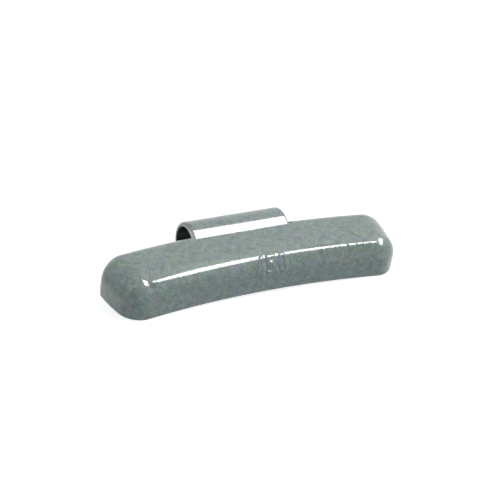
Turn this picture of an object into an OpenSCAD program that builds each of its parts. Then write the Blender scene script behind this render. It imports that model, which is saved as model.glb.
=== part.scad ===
// Knock-on wheel balance weight: a curved cast bar with a folded spring clip for the rim flange.
// It is modelled as it lies on a table: on the two end corners of its inner edge and on the clip's tip.
// In the weight's own frame X runs along the bar, Y points away from the wheel's axle, and Z points
// from the flat rim face to the outer face. lay() tips that frame to the way the weight lies.

/* [Body] */
// Length of the bar, along its curve at half its width
body_l = 62.5; // [50:0.5:80]
// Width of the bar, across the rim flange
body_w = 13.5; // [12.5:0.1:18]
// Thickness of the bar, from the rim face to the outer face
body_t = 8; // [7:0.1:11]
// Radius of the bar's outer curved wall, from the wheel's axle
wall_r = 194; // [150:1:240]
// Draft of the side walls, in degrees
draft = 1; // [0:0.1:3]

/* [Body edges] */
// Rounding of the outer face's edge on the side nearer to the axle: a tight arc rises from the wall
near_low = 3.5; // [2:0.1:4.5]
// and a wide one goes on from it to the outer face
near_high = 7.5; // [5:0.1:9]
// Angle through which the tight arc turns, in degrees
near_turn = 60; // [50:1:75]
// Rounding of the outer face's edge on the clip's side
far_round = 2.8; // [2:0.1:4]
// Rounding of the outer face's edge at both ends
end_round = 4.8; // [3:0.1:6]
// Radius of the end corners nearer to the axle, seen from the outer face
near_corner = 4; // [3:0.1:6]
// Radius of the end corners on the clip's side, seen from the outer face
far_corner = 2.8; // [2:0.1:4.5]
// Width of the bevel that seats on the flange's lip
bevel_w = 2; // [1:0.1:2.8]

/* [Clip] */
// Width of the clip along the bar
clip_w = 22; // [14:0.5:28]
// Thickness of the spring steel
sheet_t = 1; // [0.7:0.1:1.2]
// Inside radius of the bend
bend_r = 3.9; // [3.2:0.1:4.6]
// Distance from the bar's outer curved wall to the centre of the bend
bend_out = 1.3; // [0.9:0.1:1.8]
// Height of the centre of the bend above the rim face
bend_up = 3.5; // [3.2:0.1:3.9]
// Slope at which the cast-in root rises out of the body, in degrees
root_a = 35; // [30:1:40]
// Length of the flat root, most of it cast in
root_l = 8; // [6:0.5:9]
// Slope of the free leg against the rim face, in degrees
leg_a = 34; // [28:1:40]
// Length of the free leg past the bend
leg_l = 6; // [4.5:0.1:7.5]
// Distance from the bend to where the free leg starts to narrow
taper_s = 0.5; // [0.2:0.1:1.5]
// Width of the free leg at its tip
tip_w = 15; // [10:0.5:20]
// Corner radius of the free leg's tip
tip_r = 2; // [1:0.1:2.4]

/* [Dip beside the clip] */
// Distance from the bar's outer curved wall to where the outer face dips down to the clip's root
dip_in = 3; // [2.7:0.1:3.4]
// Slope of that dip, in degrees
dip_a = 45; // [40:1:60]

/* [Clip holes] */
// Diameter of the hole in the free leg
hole_d = 2.4; // [1.6:0.1:2.8]
// Distance from the bend to the middle of that hole
hole_s = 1.9; // [1.6:0.1:2.4]
// Diameter of the holes in the root, which the casting fills and so holds the clip
anchor_d = 3; // [2:0.1:3.4]
// Distance between the middles of those two holes
anchor_gap = 11; // [8:0.5:12]
// Distance from the bend to the middles of those two holes
anchor_s = 5.2; // [4.6:0.1:5.6]

/* [Hidden] */
// steps along a side, round a corner and over a rounded edge
side_n = 10;
corner_n = 8;
edge_n = 12;
// and round the clip's bend
bend_n = 48;
// least corner radius of an outline, so that no ring loses its corners
least_r = 0.4;
// how far a cutter reaches past what it cuts
spare = 1;

mid_r = wall_r - body_w / 2;
inner_r = wall_r - body_w;
end_a = body_l / 2 / mid_r * 180 / PI;
// the bevel runs parallel to the clip's free leg
bevel_h = bevel_w * tan(leg_a);
// the near edge's two arcs start this far below the outer face
near_h = near_low * sin(near_turn) + near_high * (1 - sin(near_turn));
deepest_round = max(near_h, far_round, end_round);

// Side of a right triangle with hypotenuse r and other side h
function other_side(r, h) = sqrt(max(0, r * r - h * h));
// How far a wall has leaned in at height z, with the draft and the rounding r of its top edge
function lean(z, r) = z * tan(draft) + (z > body_t - r ? r - other_side(r, z - body_t + r) : 0);
// The same for the clip's side, which has the bevel at its foot
function far_lean(z) = lean(z, far_round) + max(0, bevel_h - z) / tan(leg_a);
// and for the side nearer to the axle, with the tight arc and then the wide one
function near_lean(z) = let (up = z - body_t + near_h) z * tan(draft) + (
    up < 0 ? 0 :
    up < near_low * sin(near_turn) ? near_low - other_side(near_low, up) :
    near_low * (1 - cos(near_turn)) + near_high * cos(near_turn) - other_side(near_high, near_high - body_t + z));

// Point at distance r from the axle and turned by a from the middle of the bar
function polar(r, a) = [r * sin(a), r * cos(a) - mid_r];
// Points on a corner's arc about a centre, between two directions
function arc(c, r, from, to, first) =
    [for (i = [first:corner_n]) let (a = from + (to - from) * i / corner_n) c + r * [sin(a), cos(a)]];

// Right half of the bar's outline at height z, from the middle of the inner edge to that of the outer
function half_outline(z) = let (
    r0 = inner_r + near_lean(z),
    r1 = wall_r - far_lean(z),
    e = lean(z, end_round),
    c0 = max(least_r, near_corner - near_lean(z)),
    c1 = max(least_r, far_corner - far_lean(z)),
    a0 = end_a - asin((e + c0) / (r0 + c0)),
    a1 = end_a - asin((e + c1) / (r1 - c1))
) concat(
    [for (i = [0:side_n]) polar(r0, a0 * i / side_n)],
    arc(polar(r0 + c0, a0), c0, 180 + a0, 90 + end_a, 1),
    arc(polar(r1 - c1, a1), c1, 90 + end_a, a1, 0),
    [for (i = [1:side_n]) polar(r1, a1 * (1 - i / side_n))]
);
function outline(z) = let (h = half_outline(z), n = len(h))
    concat(h, [for (i = [n - 2:-1:1]) [-h[i].x, h[i].y]]);

// Heights of the outlines: the rim face, the top of the bevel, and the steps over the rounded edge
levels = concat([0, bevel_h],
    [for (i = [0:edge_n]) body_t - deepest_round * (1 - sin(90 * i / edge_n))]);
rings = [for (z = levels) [for (p = outline(z)) [p.x, p.y, z]]];
ring_n = len(rings[0]);
points = [for (ring = rings) each ring];

// Clip's places in the weight's own frame, as [Y, Z]
bend_c = [body_w / 2 + bend_out, bend_up];
bend_R = bend_r + sheet_t;
function to(a) = [cos(a), sin(a)];
// One side of the folded strip, r from the centre of the bend: along the root, round the bend and down the leg
function strip_side(r) = concat(
    [bend_c + r * to(root_a + 90) - root_l * to(root_a)],
    [for (i = [0:bend_n]) bend_c + r * to(root_a + 90 + (leg_a - root_a - 180) * i / bend_n)],
    [bend_c + r * to(leg_a - 90) - leg_l * to(leg_a)]
);
tip_point = strip_side(bend_R)[bend_n + 2];

// The weight lies on its lowest inner corners and on the tip of the free leg
near_y = min([for (p = rings[0]) p.y]);
lie_a = atan(-tip_point.y / (tip_point.x - near_y));
lain = [for (p = points) p.y * cos(lie_a) - p.z * sin(lie_a)];
reach_y = bend_c.x * cos(lie_a) - bend_c.y * sin(lie_a) + bend_R;
shift = [0, -(min(lain) + reach_y) / 2, -near_y * sin(lie_a)];

module lay() translate(shift) rotate([lie_a, 0, 0]) children();

// Turns a drawing in Y and Z into a piece that runs along X, centred on the bar
module along_x(length) rotate([90, 0, 90]) translate([0, 0, -length / 2]) linear_extrude(length) children();

// The bar: outlines joined from the rim face up over the rounded edge to the outer face
module bar() {
    quads = [for (k = [0:len(rings) - 2], i = [0:ring_n - 1])
        let (a = k * ring_n + i, b = k * ring_n + (i + 1) % ring_n) [a, b, b + ring_n, a + ring_n]];
    sides = [for (q = quads) each [[q[0], q[2], q[1]], [q[0], q[3], q[2]]]];
    top = (len(rings) - 1) * ring_n;
    polyhedron(
        points = points,
        faces = concat(sides,
            [[for (i = [0:ring_n - 1]) i]],
            [[for (i = [ring_n - 1:-1:0]) top + i]])
    );
}

// Section of the folded strip, in Y and Z
module strip_section() {
    inner = strip_side(bend_r);
    polygon(concat(strip_side(bend_R), [for (i = [len(inner) - 1:-1:0]) inner[i]]));
}

// Section of the dip in the casting: from the outer face down to the middle of the sheet, and out along it
module dip_section() {
    middle_r = bend_r + sheet_t / 2;
    up = to(root_a + 90);
    edge = [body_w / 2 - dip_in, body_t];
    dip_l = ((edge - bend_c) * up - middle_r) / sin(dip_a + root_a);
    end = bend_c + middle_r * to(root_a + 70);
    polygon([
        edge, edge + dip_l * to(-dip_a), bend_c + middle_r * up, end,
        [end.x, body_t + spare], [edge.x, body_t + spare]
    ]);
}

// Places what is drawn flat on the free leg: X along the bar, Y from the bend to the tip
module on_leg()
    translate([0, bend_c.x, bend_c.y]) rotate([leg_a, 0, 0])
        translate([0, 0, -bend_R - spare]) mirror([0, 1, 0])
            linear_extrude(sheet_t + 2 * spare) children();

// Outline of the free leg: it narrows to a tip with rounded corners
module leg_outline() {
    half = clip_w / 2;
    side_a = atan((half - tip_w / 2) / (leg_l - taper_s));
    c = [half - (leg_l - tip_r - taper_s) * tan(side_a) - tip_r / cos(side_a), leg_l - tip_r];
    touch = c + tip_r * [cos(side_a), sin(side_a)];
    polygon([[half, taper_s], touch, [c.x, leg_l], [-c.x, leg_l], [-touch.x, touch.y], [-half, taper_s]]);
    for (side = [-1, 1]) translate([side * c.x, c.y]) circle(tip_r, $fn = 48);
}

// What is cut away beside the narrowing leg
module leg_waste() difference() {
    translate([-clip_w / 2 - spare, taper_s]) square([clip_w + 2 * spare, leg_l + spare]);
    leg_outline();
}

// What fills the holes in the clip's root
module anchors()
    for (side = [-1, 1])
        translate([side * anchor_gap / 2, bend_c.x, bend_c.y]) rotate([root_a, 0, 0])
            translate([0, -anchor_s, bend_r - spare]) cylinder(h = sheet_t + 2 * spare, d = anchor_d, $fn = 48);

// The casting, with the pocket that the clip's root fills and the dip beside it
module weight_body() color([0.47, 0.52, 0.51]) lay() difference() {
    bar();
    difference() {
        along_x(clip_w) strip_section();
        anchors();
    }
    along_x(clip_w) dip_section();
}

// The spring clip, bent from one strip of sheet
module clip() color([0.5, 0.55, 0.54]) lay() difference() {
    along_x(clip_w) strip_section();
    anchors();
    on_leg() leg_waste();
    on_leg() translate([0, hole_s]) circle(d = hole_d, $fn = 48);
}

weight_body();
clip();
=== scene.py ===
"""A knock-on balance weight for a car wheel, lying on a white table as it comes to rest.

Each piece is drawn in the weight's own frame, in millimetres: X along the bar, Y away from the
wheel's axle, Z from the flat rim face to the outer face. lay() tips that frame to the way the
weight lies and turns it into metres, which is the frame of the loaded model.
"""
import math

import bmesh
import bpy
import numpy as np
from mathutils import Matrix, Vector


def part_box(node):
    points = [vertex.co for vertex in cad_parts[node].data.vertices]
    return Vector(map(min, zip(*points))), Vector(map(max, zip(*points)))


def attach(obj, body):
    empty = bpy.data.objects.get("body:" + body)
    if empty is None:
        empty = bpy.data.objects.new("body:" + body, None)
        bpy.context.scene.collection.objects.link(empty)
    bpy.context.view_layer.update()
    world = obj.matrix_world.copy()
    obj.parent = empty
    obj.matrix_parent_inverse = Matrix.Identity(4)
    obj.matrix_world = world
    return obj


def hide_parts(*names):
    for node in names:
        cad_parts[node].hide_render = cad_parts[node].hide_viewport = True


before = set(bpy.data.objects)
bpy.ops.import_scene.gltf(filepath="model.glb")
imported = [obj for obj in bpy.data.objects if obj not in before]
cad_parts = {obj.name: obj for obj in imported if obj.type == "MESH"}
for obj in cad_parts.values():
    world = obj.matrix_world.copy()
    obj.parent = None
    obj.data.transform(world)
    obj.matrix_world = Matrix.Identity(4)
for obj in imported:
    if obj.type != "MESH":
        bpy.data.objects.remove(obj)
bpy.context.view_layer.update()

# Casting
# The weight itself: a bar that follows the curve of the rim's flange, die cast in a zinc alloy
# round the clip's root. The walls have draft, the outer face's edges are rounded and dip down to
# the clip, and a bevel along the edge under the clip seats on the flange's lip.
body_length, body_width, body_thickness = 62.5, 13.5, 8.0
wall_radius = 194.0
draft_slope = math.tan(math.radians(1.0))
far_round, end_round = 2.8, 4.8
near_corner, far_corner, least_corner = 4.0, 3.2, 0.4
bevel_width, bevel_angle = 2.0, math.radians(34)
foot_round, bevel_blend = 0.3, 0.25
mid_radius = wall_radius - body_width / 2
inner_radius = wall_radius - body_width
end_turn = body_length / 2 / mid_radius
# the edge on the axle's side turns on three arcs: their radii, and where each begins and ends
near_radii = np.array([4.3, 2.3, 9.0])
near_turns = np.radians([0, 49, 69, 90])
near_from, near_to = near_turns[:-1], near_turns[1:]
near_rises = near_radii * (np.sin(near_to) - np.sin(near_from))
near_depth = near_rises.sum()
near_foot = body_thickness - near_depth


def foot_lean(height):
    """How far a wall has leaned in at a height: the height times the slope of the draft, and at its
    foot the inset of a quarter circle, which is r less the root of r squared less d squared."""
    foot = np.clip(foot_round - height, 0, None)
    return draft_slope * height + foot_round - np.sqrt(foot_round**2 - foot**2)


def lean(height, rounding):
    """The same with a larger quarter circle at the top, from the rounding's depth upwards."""
    top = np.clip(height - body_thickness + rounding, 0, rounding)
    return foot_lean(height) + rounding - np.sqrt(rounding**2 - top**2)


def far_lean(height):
    """The same for the wall under the clip: its bevel adds the height still to go to the bevel's
    top, over the bevel's slope, and a hyperbola blends it into the wall."""
    below = bevel_width * math.tan(bevel_angle) - height
    blended = (below + np.sqrt(below**2 + bevel_blend**2)) / 2
    return lean(height, far_round) + blended / math.tan(bevel_angle)


def near_edge(height):
    """The edge on the axle's side at a height: its turn from upright, its lean and its run.

    An arc of radius r that has turned from t0 to t has risen by r (sin t - sin t0), leaned in by
    r (cos t0 - cos t) and run for r (t - t0). The three arcs' parts add up.
    """
    begins = near_foot + np.concatenate([[0], np.cumsum(near_rises)[:-1]])
    low, high = np.sin(near_from), np.sin(near_to)
    risen = (np.asarray(height)[..., None] - begins) / near_radii
    turned = np.arcsin(np.clip(low + risen, low, high))
    leaned = (near_radii * (np.cos(near_from) - np.cos(turned))).sum(axis=-1)
    run = (near_radii * (turned - near_from)).sum(axis=-1)
    return (turned - near_from).sum(axis=-1), leaned, run


def near_rise_at(turn):
    """Height over the start of that edge at which it has turned by so much, by the same formula."""
    part = np.clip(np.asarray(turn)[..., None], near_from, near_to)
    return (near_radii * (np.sin(part) - np.sin(near_from))).sum(axis=-1)


def polar(radius, turn):
    """Points at a distance from the axle, turned from the middle of the bar: X is the radius times
    the sine, and Y the radius times the cosine, less the radius of the bar's middle."""
    x, y = np.broadcast_arrays(radius * np.sin(turn), radius * np.cos(turn) - mid_radius)
    return np.stack([x, y], axis=-1)


def chain(height, along, near):
    """The bar's edge on one side at each height, from the left end's middle to the right end's.

    A side is an arc about the axle. At each end a corner's arc touches it and the straight end,
    which runs towards the axle. along gives where the side's points lie, from -1 to 1.
    """
    height = height[:, None]
    leaning = foot_lean(height) + near_edge(height)[1] if near else far_lean(height)
    corner = np.maximum((near_corner if near else far_corner) - leaning, least_corner)
    radius = inner_radius + leaning if near else wall_radius - leaning
    centre_radius = radius + corner if near else radius - corner
    inset = lean(height, end_round)
    turn = end_turn - np.arcsin((inset + corner) / centre_radius)
    side = polar(radius, turn * along)
    first = math.pi + turn if near else turn
    bend = first + (math.pi / 2 + end_turn - first) * np.linspace(0, 1, corner_steps + 1)[1:]
    outward = np.stack([np.sin(bend), np.cos(bend)], axis=-1)
    arc = polar(centre_radius, turn) + corner[..., None] * outward
    inward = np.array([-math.cos(end_turn), math.sin(end_turn)])
    middle = polar(mid_radius, end_turn) + inset[..., None] * inward
    share = np.linspace(0, 1, end_steps + 1)[1:, None]
    end = arc[:, -1:] * (1 - share) + middle * share
    right = np.concatenate([arc, end], axis=1)
    left = right[:, ::-1] * np.array([-1, 1])
    return np.concatenate([left, side, right], axis=1)


# steps round a corner and across half an end, across the two faces, and up a wall
corner_steps, end_steps = 14, 8
face_steps, rim_face_steps = 40, 10
foot_steps, wall_steps, round_steps = 5, 19, 90
# along a side, points lie close together from where the edge's small forms begin
half_length = body_length / 2 - near_corner
forms_from, wide_spacing, close_points = -18.0, 0.4, 256
along = np.concatenate([
    np.arange(-half_length, forms_from, wide_spacing),
    np.linspace(forms_from, half_length, close_points),
]) / half_length
quarter = math.pi / 2
heights = np.concatenate([
    foot_round * (1 - np.cos(np.linspace(0, quarter, foot_steps + 1))),
    np.linspace(foot_round, near_foot, wall_steps + 1)[1:-1],
    near_foot + near_rise_at(np.linspace(0, quarter, round_steps + 1)),
])
near, far = chain(heights, along, near=True), chain(heights, along, near=False)
levels, points_long = near.shape[:2]
ring = np.concatenate([near, far[:, -2:0:-1]], axis=1)
ring_heights = np.broadcast_to(heights[:, None, None], ring.shape[:2] + (1,))
walls = np.concatenate([ring, ring_heights], axis=-1)


def strokes_distance(points, strokes):
    """Distance from points to the nearest of some broken lines, each a list of corners: a point is
    dropped on each straight part, and the foot is kept between the part's two ends."""
    nearest = np.full(len(points), np.inf)
    for corners in strokes:
        for a, b in zip(np.array(corners[:-1]), np.array(corners[1:])):
            t = np.clip((points - a) @ (b - a) / ((b - a) @ (b - a)), 0, 1)
            nearest = np.minimum(nearest, np.linalg.norm(points - a - t[:, None] * (b - a), axis=1))
    return nearest


def raised(points, marks, size, stroke, blend):
    """Height from 0 to 1 of raised marks: 1 up to half a stroke's width from its middle line, and
    then down over the blend's width by t squared times (3 - 2 t)."""
    out = np.zeros(len(points))
    for strokes, start in marks:
        distance = strokes_distance((points - np.array(start)) / size, strokes) * size
        t = np.clip((stroke / 2 + blend - distance) / blend, 0, 1)
        out = np.maximum(out, t * t * (3 - 2 * t))
    return out


# figures in a box 1 high, whose round parts are parts of ellipses
bowl, circle = np.radians(np.linspace(120, -130, 12)), np.radians(np.linspace(0, 360, 25))
four = [[(0.36, 0.0), (0.36, 1.0), (0.0, 0.3), (0.48, 0.3)]]
five_bowl = list(zip(0.2 + 0.26 * np.cos(bowl), 0.31 + 0.31 * np.sin(bowl)))
five = [[(0.44, 1.0), (0.06, 1.0), (0.04, 0.55)] + five_bowl]
point = [[(0.0, 0.03), (0.0, 0.06)]]
nought = [list(zip(0.24 + 0.24 * np.cos(circle), 0.5 + 0.5 * np.sin(circle)))]
# the mass in these figures stands on the edge that faces the axle: X, and the way up the edge
edge_figures = [(four, (-2.0, 4.4)), (five, (0.5, 4.4)), (point, (2.6, 4.4)), (nought, (3.2, 4.4))]
figure_size, figure_stroke, figure_blend, figure_rise = 3.3, 0.4, 0.3, 0.2
turned, _, run = near_edge(heights)
turned = turned[:, None]
turns = np.arctan2(near[..., 0], near[..., 1] + mid_radius)
edge_x = turns * mid_radius
up_edge = np.broadcast_to((np.minimum(heights, near_foot) + run)[:, None], edge_x.shape)
figures = raised(
    np.stack([edge_x, up_edge], axis=-1).reshape(-1, 2),
    edge_figures, figure_size, figure_stroke, figure_blend,
).reshape(edge_x.shape)
# a slight ridge in the middle of the tight arc sharpens the edge by places, where its highlight is
# thin, and low beads ripple it to the right: their heights at some places along the bar
ridge_x = [-26.7, -26.2, -25.4, -25.0, -21.0, -17.0, -4.0, 5.0, 14.0, 20.0, 24.8, 26.2, 26.7]
ridge_rise = [0.0, 0.35, 0.35, 0.2, 0.1, 0.04, 0.05, 0.15, 0.19, 0.3, 0.4, 0.42, 0.0]
beads_x, beads_rise = [7.0, 14.0, 20.0, 24.5, 25.5], [0.0, 0.02, 0.06, 0.06, 0.0]
# the beads are a sine along the edge and a smaller one on it: radians to a millimetre, and the
# smaller one's share and start
bead_rate, small_bead_rate, small_bead_share, small_bead_start = 2.6, 6.1, 0.5, 1
arc_runs = near_radii * (near_to - near_from)
ridge_run, ridge_width = arc_runs[0] + arc_runs[1] / 2, 0.55
small_ripple = small_bead_share * np.sin(small_bead_rate * edge_x + small_bead_start)
ripple = np.sin(bead_rate * edge_x) + small_ripple
ridge = np.interp(edge_x, ridge_x, ridge_rise) + np.interp(edge_x, beads_x, beads_rise) * ripple
ridge *= np.exp(-((run - ridge_run) / ridge_width)**2 / 2)[:, None]
# both stand out from the edge along its own outward direction
outward = np.stack([
    -np.cos(turned) * np.sin(turns),
    -np.cos(turned) * np.cos(turns),
    np.broadcast_to(np.sin(turned), turns.shape),
], axis=-1)
walls[:, :points_long] += (ridge + figure_rise * figures)[..., None] * outward


def cap(level, steps):
    """A flat face as a grid of straight lines from the near side's points to the far side's."""
    share = np.linspace(0, 1, steps + 1)[None, :, None]
    flat = near[level][:, None] * (1 - share) + far[level][:, None] * share
    return np.concatenate([flat, np.full(flat.shape[:2] + (1,), heights[level])], axis=-1)


outer_face, rim_face = cap(-1, face_steps), cap(0, rim_face_steps)

# the clip's sizes that the casting follows: sheet, bend, cast-in root and free leg
sheet, bend_inside = 1.0, 3.9
bend_outside, bend_between = bend_inside + sheet, bend_inside + sheet / 2
bend_out, bend_up = 1.3, 3.5
bend_y, bend_z = body_width / 2 + bend_out, bend_up
root_angle, leg_angle = math.radians(35), math.radians(34)
root_length, leg_length = 8.0, 6.0
clip_half = 11.0
# where the outer face dips to the root: how far in from the side wall, how steeply, and the slope
# beside the clip
dip_in, dip_angle, dip_flank = 3.0, math.radians(45), 1.0
# how far the ends swell, over what length, and across what part of the bar's width
end_swell, swell_from, swell_at, swell_reach = 0.65, 9.0, 0.6, 6.6


def dip(points):
    """Points of the casting, lowered over the clip's root to a slope that ends at the middle of the
    sheet: the height is the least of its own and the greater of the slope's and the sheet's, to
    which the distance beyond the clip's side adds."""
    x, y, z = np.moveaxis(points, -1, 0)
    off = y - bend_y
    root = bend_z + bend_between / math.cos(root_angle) + off * math.tan(root_angle)
    bend = bend_z + np.sqrt(np.clip(bend_between**2 - off**2, 0, None))
    sheet_middle = np.where(off < -bend_between * math.sin(root_angle), root, bend)
    slope = body_thickness - (y - body_width / 2 + dip_in) * math.tan(dip_angle)
    beside = np.maximum(np.abs(x) - clip_half, 0) * dip_flank
    return np.stack([x, y, np.minimum(z, np.maximum(slope, sheet_middle) + beside)], axis=-1)


def swell(points):
    """Points of the casting with its ends swelled outwards: the swell times the square of the share
    of the last 9 mm along the bar, times 1 less the square of the share of the reach across it."""
    x, y, z = np.moveaxis(points, -1, 0)
    off = np.hypot(x, y + mid_radius) - mid_radius
    arc = np.arctan2(x, y + mid_radius) * mid_radius
    grown = np.clip((np.abs(arc) - body_length / 2 + swell_from) / swell_from, 0, 1)**2
    across = np.clip(1 - ((off - swell_at) / swell_reach)**2, 0, 1)
    return np.stack([x + np.sign(x) * end_swell * grown * across, y, z], axis=-1)


# the weight lies on two corners of its inner edge and on the tip of the clip: the tangent of its
# tilt is how far the tip is below those corners, over how far it is behind them
tip_y = bend_y + bend_outside * math.sin(leg_angle) - leg_length * math.cos(leg_angle)
tip_z = bend_z - bend_outside * math.cos(leg_angle) - leg_length * math.sin(leg_angle)
corner_radius = inner_radius + near_corner
corner_turn = end_turn - math.asin(near_corner / corner_radius)
lowest_y = corner_radius * math.cos(corner_turn) - mid_radius - near_corner
tilt = math.atan(-tip_z / (tip_y - lowest_y))


def tip_over(y, z):
    """Y and Z turned about X by the tilt."""
    return y * math.cos(tilt) - z * math.sin(tilt), y * math.sin(tilt) + z * math.cos(tilt)


# in the loaded model the bend's outside touches the back and the top of the clip's box
per_metre = 1000
shift = np.array(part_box("clip")[1])[1:] * per_metre - tip_over(bend_y, bend_z) - bend_outside


def lay(points):
    """Points from the weight's own frame, in millimetres, to the frame of the model, in metres."""
    x, y, z = np.moveaxis(np.asarray(points, float), -1, 0)
    y, z = tip_over(y, z)
    return np.stack([x, y + shift[0], z + shift[1]], axis=-1) / per_metre


def quads(rows, columns, wrap=False):
    """Corners of the cells of a grid of points, row by row; wrap joins the last column and the
    first."""
    last = columns if wrap else columns - 1
    i, j = np.meshgrid(np.arange(rows - 1), np.arange(last), indexing="ij")
    a, b = i * columns + j, i * columns + (j + 1) % columns
    return np.stack([a, b, b + columns, a + columns], axis=-1).reshape(-1, 4)


def piece(name, grids, node, material):
    """One closed piece in place of a node of the model, from grids of points that share their
    rims: points in one place are merged, and every face is turned outward."""
    vertices, faces, count = [], [], 0
    for points, cells in grids:
        vertices.append(lay(points).reshape(-1, 3))
        faces.append(cells + count)
        count += len(vertices[-1])
    mesh = bpy.data.meshes.new(name)
    mesh.from_pydata(np.concatenate(vertices).tolist(), [], np.concatenate(faces).tolist())
    merge_distance = 1e-7
    bm = bmesh.new()
    bm.from_mesh(mesh)
    bmesh.ops.remove_doubles(bm, verts=bm.verts, dist=merge_distance)
    bmesh.ops.recalc_face_normals(bm, faces=bm.faces)
    bm.to_mesh(mesh)
    bm.free()
    mesh.polygons.foreach_set("use_smooth", [True] * len(mesh.polygons))
    mesh.materials.append(material)
    made = bpy.data.objects.new(name, mesh)
    bpy.context.scene.collection.objects.link(made)
    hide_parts(node)
    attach(made, "root")


class Socket:
    """A shader value: +, - and * on it add Math nodes to its tree."""

    def __init__(self, nodes, socket):
        self.nodes, self.socket = nodes, socket

    def math(self, operation, other, swap=False):
        sides = [other, self] if swap else [self, other]
        return self.nodes.add("ShaderNodeMath", {"operation": operation}, dict(enumerate(sides)))

    def __add__(self, other):
        return self.math("ADD", other)

    def __sub__(self, other):
        return self.math("SUBTRACT", other)

    def __rsub__(self, other):
        return self.math("SUBTRACT", other, swap=True)

    def __mul__(self, other):
        return self.math("MULTIPLY", other)

    __radd__, __rmul__ = __add__, __mul__


class Nodes:
    """A material's or the world's node tree, started empty."""

    def __init__(self, owner):
        owner.use_nodes = True
        self.tree = owner.node_tree
        self.tree.nodes.clear()

    def add(self, kind, settings, values, output=0):
        """A node of a type: its settings are set first, then the values or links of its sockets."""
        node = self.tree.nodes.new(kind)
        for name, value in settings.items():
            setattr(node, name, value)
        for name, value in values.items():
            if isinstance(value, Socket):
                self.tree.links.new(value.socket, node.inputs[name])
            else:
                node.inputs[name].default_value = value
        return Socket(self, node.outputs[output]) if node.outputs else None

    def between(self, value, low, high, at_low=0.0, at_high=1.0):
        """A value that goes from at_low to at_high while the given one goes from low to high."""
        ends = {0: value, 1: low, 2: high, 3: at_low, 4: at_high}
        return self.add("ShaderNodeMapRange", {}, ends)


# the whole weight is sprayed after casting with one grey gloss coat, so both pieces have the same
# finish: patches of green, lilac and brown, dark and light grains, and a fine orange peel. The
# tints are factors on the coat's colour.
coat_colour = (0.215, 0.285, 0.265)
green, lilac, brown = (0.76, 1.12, 0.74), (1.12, 0.87, 1.32), (1.45, 1.0, 0.66)
dark, light = (0.3, 0.32, 0.34), (1.74, 1.72, 1.7)
# how many patches, brown spots, clouds and grains there are to a metre, and ripples of the peel
patch_scale, spot_scale, cloud_scale, grain_scale = 760.0, 640.0, 900.0, 2600.0
peel_scale, fine_peel_scale, fine_peel_share, peel_depth = 420.0, 1500.0, 0.25, 0.00005
# the noise values between which patches and grains come in, and brown spots
patch_limits, spot_limits = (0.36, 0.64), (0.52, 0.72)
plain_roughness, cloudy_roughness = 0.42, 0.1


def coat(name, peel, painted_light=None):
    """The coat's material. peel is how strong the orange peel is. painted_light gives painted shade
    and sheen laid over the coat's colour, each with its share, and how much gloss is left, all
    from the place."""
    material = bpy.data.materials.new(name)
    nodes = Nodes(material)
    where = nodes.add("ShaderNodeTexCoord", {}, {}, "Object")
    painted_tints, gloss = painted_light(nodes, where) if painted_light else ([], 1.0)

    def noise(scale, detail, output=0):
        values = {"Vector": where, "Scale": scale, "Detail": detail}
        return nodes.add("ShaderNodeTexNoise", {}, values, output)

    def mix(share, first, second):
        return nodes.add("ShaderNodeMix", {"data_type": "RGBA"}, {0: share, 6: first, 7: second}, 2)

    def tinted(factors):
        return [c * f for c, f in zip(coat_colour, factors)] + [1]

    cloud = noise(cloud_scale, 3.0)
    patches = nodes.between(noise(patch_scale, 2.0), *patch_limits)
    spots = nodes.between(noise(spot_scale, 2.0, "Color"), *spot_limits)
    grains = nodes.between(cloud * 0.5 + noise(grain_scale, 1.0) * 0.5, *patch_limits)
    tint = mix(spots, mix(patches, tinted(green), tinted(lilac)), tinted(brown))
    tint = mix(grains, mix(0.5, tint, tinted(dark)), mix(0.5, tint, tinted(light)))
    # painted shade and painted sheen, where given, are mixed over the tint here
    for share, colour in painted_tints:
        tint = mix(share, tint, colour)
    bump = nodes.add("ShaderNodeBump", {}, {
        "Height": noise(peel_scale, 1.0) + noise(fine_peel_scale, 2.0) * fine_peel_share,
        "Strength": peel, "Distance": peel_depth,
    })
    surface = nodes.add("ShaderNodeBsdfPrincipled", {}, {
        "Base Color": tint, "Roughness": cloud * cloudy_roughness + plain_roughness,
        "Metallic": 0.0, "Normal": bump, "Specular IOR Level": 0.2,
        "Coat Weight": gloss, "Coat Roughness": 0.06, "Coat IOR": 1.5,
    })
    nodes.add("ShaderNodeOutputMaterial", {}, {"Surface": surface})
    return material


piece(
    "weight_casting",
    [
        (swell(dip(walls)), quads(levels, ring.shape[1], wrap=True)),
        (swell(dip(outer_face)), quads(points_long, face_steps + 1)),
        (swell(rim_face), quads(points_long, rim_face_steps + 1)),
    ],
    "weight_body", coat("coated_zinc", peel=0.5),
)

# Clip
# A strip of spring steel, blanked flat with a narrowing free leg and a small hole, and folded into
# a hook. Its root is cast into the body, and the free leg grips behind the rim's flange.
taper_from, taper_ease, tip_half, tip_round = 0.5, 1.2, 7.5, 2.0
hole_radius, hole_at, hole_lip = 1.2, 1.9, 0.12
# the sheet's rounded edge: its width, and its depth on the inner and on the outer side
sheet_edge, round_in, round_out = 0.6, 0.1, 0.4
bend_turn = math.pi + root_angle - leg_angle
bend_length = bend_between * bend_turn


def fold(x, s, rise):
    """The flat blank folded: s runs from the bend's end down the free leg, and back round the bend
    to the root where it is negative; rise is the height over the sheet's inner side. The bend is a
    circle about its axis, and leg and root leave it along its tangents."""
    turned = np.clip(-s, 0, bend_length) / bend_between
    angle = leg_angle - math.pi / 2 + turned
    beyond = np.maximum(s, 0) + np.minimum(s + bend_length, 0)
    y = bend_y + (bend_inside + rise) * np.cos(angle) + beyond * np.sin(angle)
    z = bend_z + (bend_inside + rise) * np.sin(angle) - beyond * np.cos(angle)
    return np.stack(np.broadcast_arrays(x, y, z), axis=-1)


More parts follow.
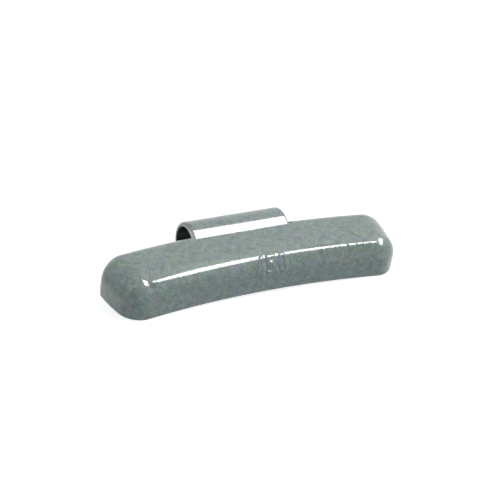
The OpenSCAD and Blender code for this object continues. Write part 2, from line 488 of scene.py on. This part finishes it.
# lines across the blank: along the root, round the bend, evenly past the hole and round the tip
root_steps, bend_steps, tip_steps = 11, 63, 15
grid_half, grid_steps = 1.8, 20
hole_lines = np.linspace(-grid_half, grid_half, grid_steps + 1)
past_hole = [3.9, 4.2, 4.5]
straight_s = np.concatenate([
    np.linspace(-bend_length - root_length, -bend_length, root_steps + 1)[:-1],
    np.linspace(-bend_length, 0, bend_steps + 1),
    hole_at + hole_lines,
    past_hole,
])
# the blank's right-hand edge where each line meets it, and its lean from straight: along the root
# and the bend, over an arc into the taper, down the taper and round the tip's corner
side_angle = math.atan((clip_half - tip_half) / (leg_length - taper_from))
ease_from = taper_from - taper_ease * math.tan(side_angle / 2)
ease_sine = np.clip((straight_s - ease_from) / taper_ease, 0, math.sin(side_angle))
straight_lean = np.arcsin(ease_sine)
past_ease = np.maximum(straight_s - ease_from - taper_ease * math.sin(side_angle), 0)
straight_x = clip_half - taper_ease * (1 - np.cos(straight_lean)) - past_ease * math.tan(side_angle)
round_lean = np.linspace(side_angle, math.pi / 2, tip_steps + 1)
corner_s = leg_length - tip_round
taper_in = (corner_s - taper_from) * math.tan(side_angle)
corner_x = clip_half - taper_in - tip_round / math.cos(side_angle)
side_x = np.concatenate([straight_x, corner_x + tip_round * np.cos(round_lean)])
side_s = np.concatenate([straight_s, corner_s + tip_round * np.sin(round_lean)])
side_lean = np.concatenate([straight_lean, round_lean])
flat_x = side_x - sheet_edge * np.cos(side_lean)
flat_s = side_s - sheet_edge * np.sin(side_lean)
rows = len(side_s)


def mirrored(middle, right, sign):
    """Rows over the blank's whole width, from their middle part and their right-hand part: the
    left-hand part is the right-hand one in reverse order, times the sign."""
    middle = np.broadcast_to(middle, (rows, len(hole_lines)))
    return np.concatenate([sign * right[:, ::-1], middle, right], axis=1)


# the lines beside the hole run straight across, and only their outer parts follow the edge
side_steps = 12
spread = np.linspace(0, 1, side_steps + 1)[1:]
follow = np.clip((past_hole[-1] - side_s) / (past_hole[-1] - hole_at - grid_half), 0, 1)
middle_s = (flat_s + (side_s - flat_s) * follow)[:, None]
across = mirrored(hole_lines, grid_half + (flat_x[:, None] - grid_half) * spread, -1)
down = mirrored(middle_s, middle_s + (flat_s[:, None] - middle_s) * spread, 1)
columns = across.shape[1]
# a square block of cells is left out, and the lines round it are drawn in to the hole's circle: a
# point is moved by the circle's radius times its greater offset, over the block's half and its own
# distance, and by less and less towards the last of these lines
block_half, block_steps = 0.9, 10
least_radius, line_slack = 1e-9, 1e-6
off_hole = down - hole_at
square = np.maximum(np.abs(across), np.abs(off_hole))
reach = np.clip((square - block_half) / (grid_half - block_half), 0, 1)
radius = np.maximum(np.hypot(across, off_hole), least_radius)
pull = reach + (1 - reach) * (hole_radius + hole_lip) * square / block_half / radius
across, down = across * pull, hole_at + off_hole * pull
in_hole = np.maximum(square[:-1, :-1], square[1:, 1:]) < block_half + line_slack
face_cells = quads(rows, columns)[~in_hole.reshape(-1)]

# the edge of the sheet is rounded off by quarter ellipses along both sides and round the tip
lip_points = 5
quarter_turn = np.linspace(0, math.pi / 2, lip_points)
around = np.concatenate([quarter_turn, math.pi / 2 + quarter_turn])
out = sheet_edge * np.sin(around)
over = np.concatenate([
    round_in * (1 - np.cos(quarter_turn)), sheet - round_out * (1 - np.sin(quarter_turn)),
])
rim_x = flat_x[:, None] + out * np.cos(side_lean)[:, None]
rim_s = flat_s[:, None] + out * np.sin(side_lean)[:, None]
tip_x = np.broadcast_to(across[-1][:, None], (columns, len(out)))
tip_s = np.broadcast_to(flat_s[-1] + out, tip_x.shape)
root_s = np.full((columns, 2), flat_s[0])
end_x = np.stack([rim_x[0, :lip_points], rim_x[0, :lip_points - 1:-1]])
end_over = np.stack([over[:lip_points], over[:lip_points - 1:-1]])

# the hole's wall starts from the block's outline, with the coat rounding its two lips
side_line = np.linspace(-block_half, block_half, block_steps + 1)
block_side = np.full(block_steps, block_half)
block_ring = np.concatenate([
    np.stack([side_line[:-1], -block_side], axis=-1),
    np.stack([block_side, side_line[:-1]], axis=-1),
    np.stack([side_line[:0:-1], block_side], axis=-1),
    np.stack([-block_side, side_line[:0:-1]], axis=-1),
])
ring_direction = block_ring / np.linalg.norm(block_ring, axis=1, keepdims=True)
lip_in, lip_down = 1 - np.sin(quarter_turn), 1 - np.cos(quarter_turn)
hole_reach = hole_radius + hole_lip * np.concatenate([lip_in, lip_in[::-1]])
hole_rise = np.concatenate([hole_lip * lip_down, sheet - hole_lip * lip_down[::-1]])
hole_x = ring_direction[:, :1] * hole_reach
hole_s = hole_at + ring_direction[:, 1:] * hole_reach

# painted shade inside the bend: a near-black colour on the sheet near the bend's axis, where
# the hook's hollow lies in shade; and a painted sheen on the cut edges, where the coat is thin on
# bare steel and the pale colour stands for the light it catches: how far from the bend's inside
# and the clip's sides each begins and is full
bend_shade_colour, edge_sheen_colour = (0.012, 0.014, 0.017, 1), (0.9, 0.93, 0.78, 1)
shade_from, shade_full, shade_share = 0.35, 0.05, 0.9
sheen_from, sheen_full, sheen_share = 0.25, 0.05, 0.9
# the painted sheen on the cut edge is bright on the root's side of the bend's axis, at these
# distances from it
root_from, root_full, bend_share = 1.0, 3.0, 0.15


def bend_shade_and_edge_sheen(nodes, where):
    """Painted light over the clip's coat, and how much gloss is left: a painted sheen on the cut
    edges, and painted shade inside the bend by the distance to its axis, where the gloss is
    missing."""
    axis_at = lay([0.0, bend_y, bend_z]).tolist()
    off = nodes.add("ShaderNodeVectorMath", {"operation": "SUBTRACT"}, {0: where, 1: axis_at})
    over_axis = nodes.add("ShaderNodeVectorMath", {"operation": "MULTIPLY"}, {0: off, 1: (0, 1, 1)})
    distance = nodes.add("ShaderNodeVectorMath", {"operation": "LENGTH"}, {0: over_axis}, "Value")
    # painted shade: near-black towards the bend's axis, where the hollow of the hook lies in shade
    inside = nodes.between(
        distance, (bend_inside + shade_from) / per_metre, (bend_inside + shade_full) / per_metre,
        0.0, shade_share,
    )
    # painted sheen: a pale colour on the clip's cut edges, bare steel under a thin coat, painted
    # pale for the light it catches
    sideways = nodes.add("ShaderNodeSeparateXYZ", {}, {0: where}, "X").math("ABSOLUTE", 0)
    cut = nodes.between(
        sideways, (clip_half - sheen_from) / per_metre, (clip_half - sheen_full) / per_metre,
        0.0, sheen_share,
    )
    past_axis = nodes.add("ShaderNodeSeparateXYZ", {}, {0: off}, "Y")
    by_root = nodes.between(
        past_axis, -root_from / per_metre, -root_full / per_metre, bend_share, 1.0,
    )
    return [(cut * by_root, edge_sheen_colour), (inside, bend_shade_colour)], 1 - inside


# the clip's coat carries painted shade inside the bend and a painted sheen on its cut edges
piece(
    "spring_clip",
    [
        (fold(across, down, 0.0), face_cells),
        (fold(across, down, sheet), face_cells),
        (fold(rim_x, rim_s, over), quads(rows, len(over))),
        (fold(-rim_x, rim_s, over), quads(rows, len(over))),
        (fold(tip_x, tip_s, over), quads(columns, len(over))),
        (fold(across[0][:, None], root_s, np.array([0.0, sheet])), quads(columns, 2)),
        (fold(end_x, flat_s[0], end_over), quads(2, lip_points)),
        (fold(-end_x, flat_s[0], end_over), quads(2, lip_points)),
        (
            fold(hole_x.T, hole_s.T, hole_rise[:, None]),
            quads(len(hole_rise), len(block_ring), wrap=True),
        ),
    ],
    "clip", coat("coated_steel", peel=0.4, painted_light=bend_shade_and_edge_sheen),
)

# Table, light and camera
# A white table under the weight in an even white room, lit by one square softbox high up on the
# weight's right. The softbox is two lamps in one place: one that the coat mirrors, and one that
# gives the light.
table_reach = 2.0
# how strongly the room lights the object, and the colour in which the table throws light back at it
room_light = 0.4
bounce_colour = (0.36, 0.4, 0.48, 1)
# what is seen of the table: a grey that takes the object's shadow, under a glow that makes it white
shadow_grey = (0.5, 0.5, 0.5, 1)
glow_colour, glow = (0.985, 0.99, 1, 1), 0.84


def seen(nodes):
    """One for rays that show the white surroundings, from the camera, by a reflection or through
    glass: the sum of the three marks, and at most 1."""
    camera_ray = nodes.add("ShaderNodeLightPath", {}, {}, "Is Camera Ray")
    glossy = nodes.add("ShaderNodeLightPath", {}, {}, "Is Glossy Ray")
    through = nodes.add("ShaderNodeLightPath", {}, {}, "Is Transmission Ray")
    return (camera_ray + glossy + through).math("MINIMUM", 1.0)


table_mesh = bpy.data.meshes.new("table_top")
table_corners = [(-1, -1), (1, -1), (1, 1), (-1, 1)]
table_points = [(x * table_reach, y * table_reach, 0) for x, y in table_corners]
table_mesh.from_pydata(table_points, [], [(0, 1, 2, 3)])
table = bpy.data.objects.new("table_top", table_mesh)
bpy.context.scene.collection.objects.link(table)
white = bpy.data.materials.new("white_table")
nodes = Nodes(white)
shown = nodes.add("ShaderNodeAddShader", {}, {
    0: nodes.add("ShaderNodeBsdfDiffuse", {}, {"Color": shadow_grey}),
    1: nodes.add("ShaderNodeEmission", {}, {"Color": glow_colour, "Strength": glow}),
})
bounce = nodes.add("ShaderNodeBsdfDiffuse", {}, {"Color": bounce_colour})
both = nodes.add("ShaderNodeMixShader", {}, {0: seen(nodes), 1: bounce, 2: shown})
nodes.add("ShaderNodeOutputMaterial", {}, {"Surface": both})
table_mesh.materials.append(white)

world = bpy.data.worlds.new("white_room")
bpy.context.scene.world = world
nodes = Nodes(world)
room = nodes.add("ShaderNodeBackground", {}, {
    "Color": (1, 1, 1, 1), "Strength": seen(nodes) * (1 - room_light) + room_light,
})
nodes.add("ShaderNodeOutputWorld", {}, {"Surface": room})


def placed(axes, spot):
    """A matrix for Blender from a thing's axes, as columns, and its place."""
    matrix = np.eye(4)
    matrix[:3, :3], matrix[:3, 3] = axes, spot
    return matrix.T


# the softbox stands where the edge and the clip mirror it: the way to it and its distance in the
# weight's own frame, and its size in metres
light_way, light_distance, light_size = np.array([0.45, -0.12, 0.885]), 500, 0.364
# the power of the lamp that is seen in reflections only, and of the one whose light falls
mirrored_power, falling_power = 7.5, 1.65
light_at = lay(light_way / np.linalg.norm(light_way) * light_distance)
toward = light_at - lay([0.0, 0.0, 0.0])
toward = toward / np.linalg.norm(toward)
sideways = np.cross([0, 1, 0], toward)
sideways = sideways / np.linalg.norm(sideways)
light_axes = np.stack([sideways, np.cross(toward, sideways), toward], axis=1)
lamps = [("softbox", mirrored_power, True), ("softbox_light", falling_power, False)]
for name, power, in_mirrors in lamps:
    lamp = bpy.data.lights.new(name, "AREA")
    lamp.size, lamp.energy = light_size, power
    softbox = bpy.data.objects.new(name, lamp)
    softbox.visible_glossy, softbox.visible_diffuse = in_mirrors, not in_mirrors
    bpy.context.scene.collection.objects.link(softbox)
    softbox.matrix_world = placed(light_axes, light_at)

# the camera stands where the photograph was taken from: its turn as an axis times an angle, and its
# place, both from the weight's own frame to the camera's, whose Y points down and Z forward
camera_turn = np.array([2.1394295, -0.4361434, 0.418744])
camera_place = np.array([-0.3562, 4.7371, 314.4869])
focal_pixels, image_pixels, sensor_width = 1540.48, 500, 36.0
# a turn by an angle about an axis is the unit matrix, plus the sine times the axis's cross product,
# plus 1 less the cosine times the square of that product
camera_angle = np.linalg.norm(camera_turn)
a, b, c = camera_turn / camera_angle
cross = np.array([[0, -c, b], [c, 0, -a], [-b, a, 0]])
turned_by = math.sin(camera_angle) * cross + (1 - math.cos(camera_angle)) * cross @ cross
to_camera = np.eye(3) + turned_by
eye = -to_camera.T @ camera_place
own_axes = np.array([
    [1, 0, 0], [0, math.cos(tilt), -math.sin(tilt)], [0, math.sin(tilt), math.cos(tilt)],
])
lens = bpy.data.cameras.new("camera")
lens.sensor_width = sensor_width
lens.lens = focal_pixels / image_pixels * sensor_width
lens.clip_start, lens.clip_end = 0.01, 10
camera = bpy.data.objects.new("camera", lens)
bpy.context.scene.collection.objects.link(camera)
camera.matrix_world = placed(own_axes @ to_camera.T @ np.diag([1, -1, -1]), lay(eye))
bpy.context.scene.camera = camera
bpy.context.scene.view_settings.view_transform = "Standard"
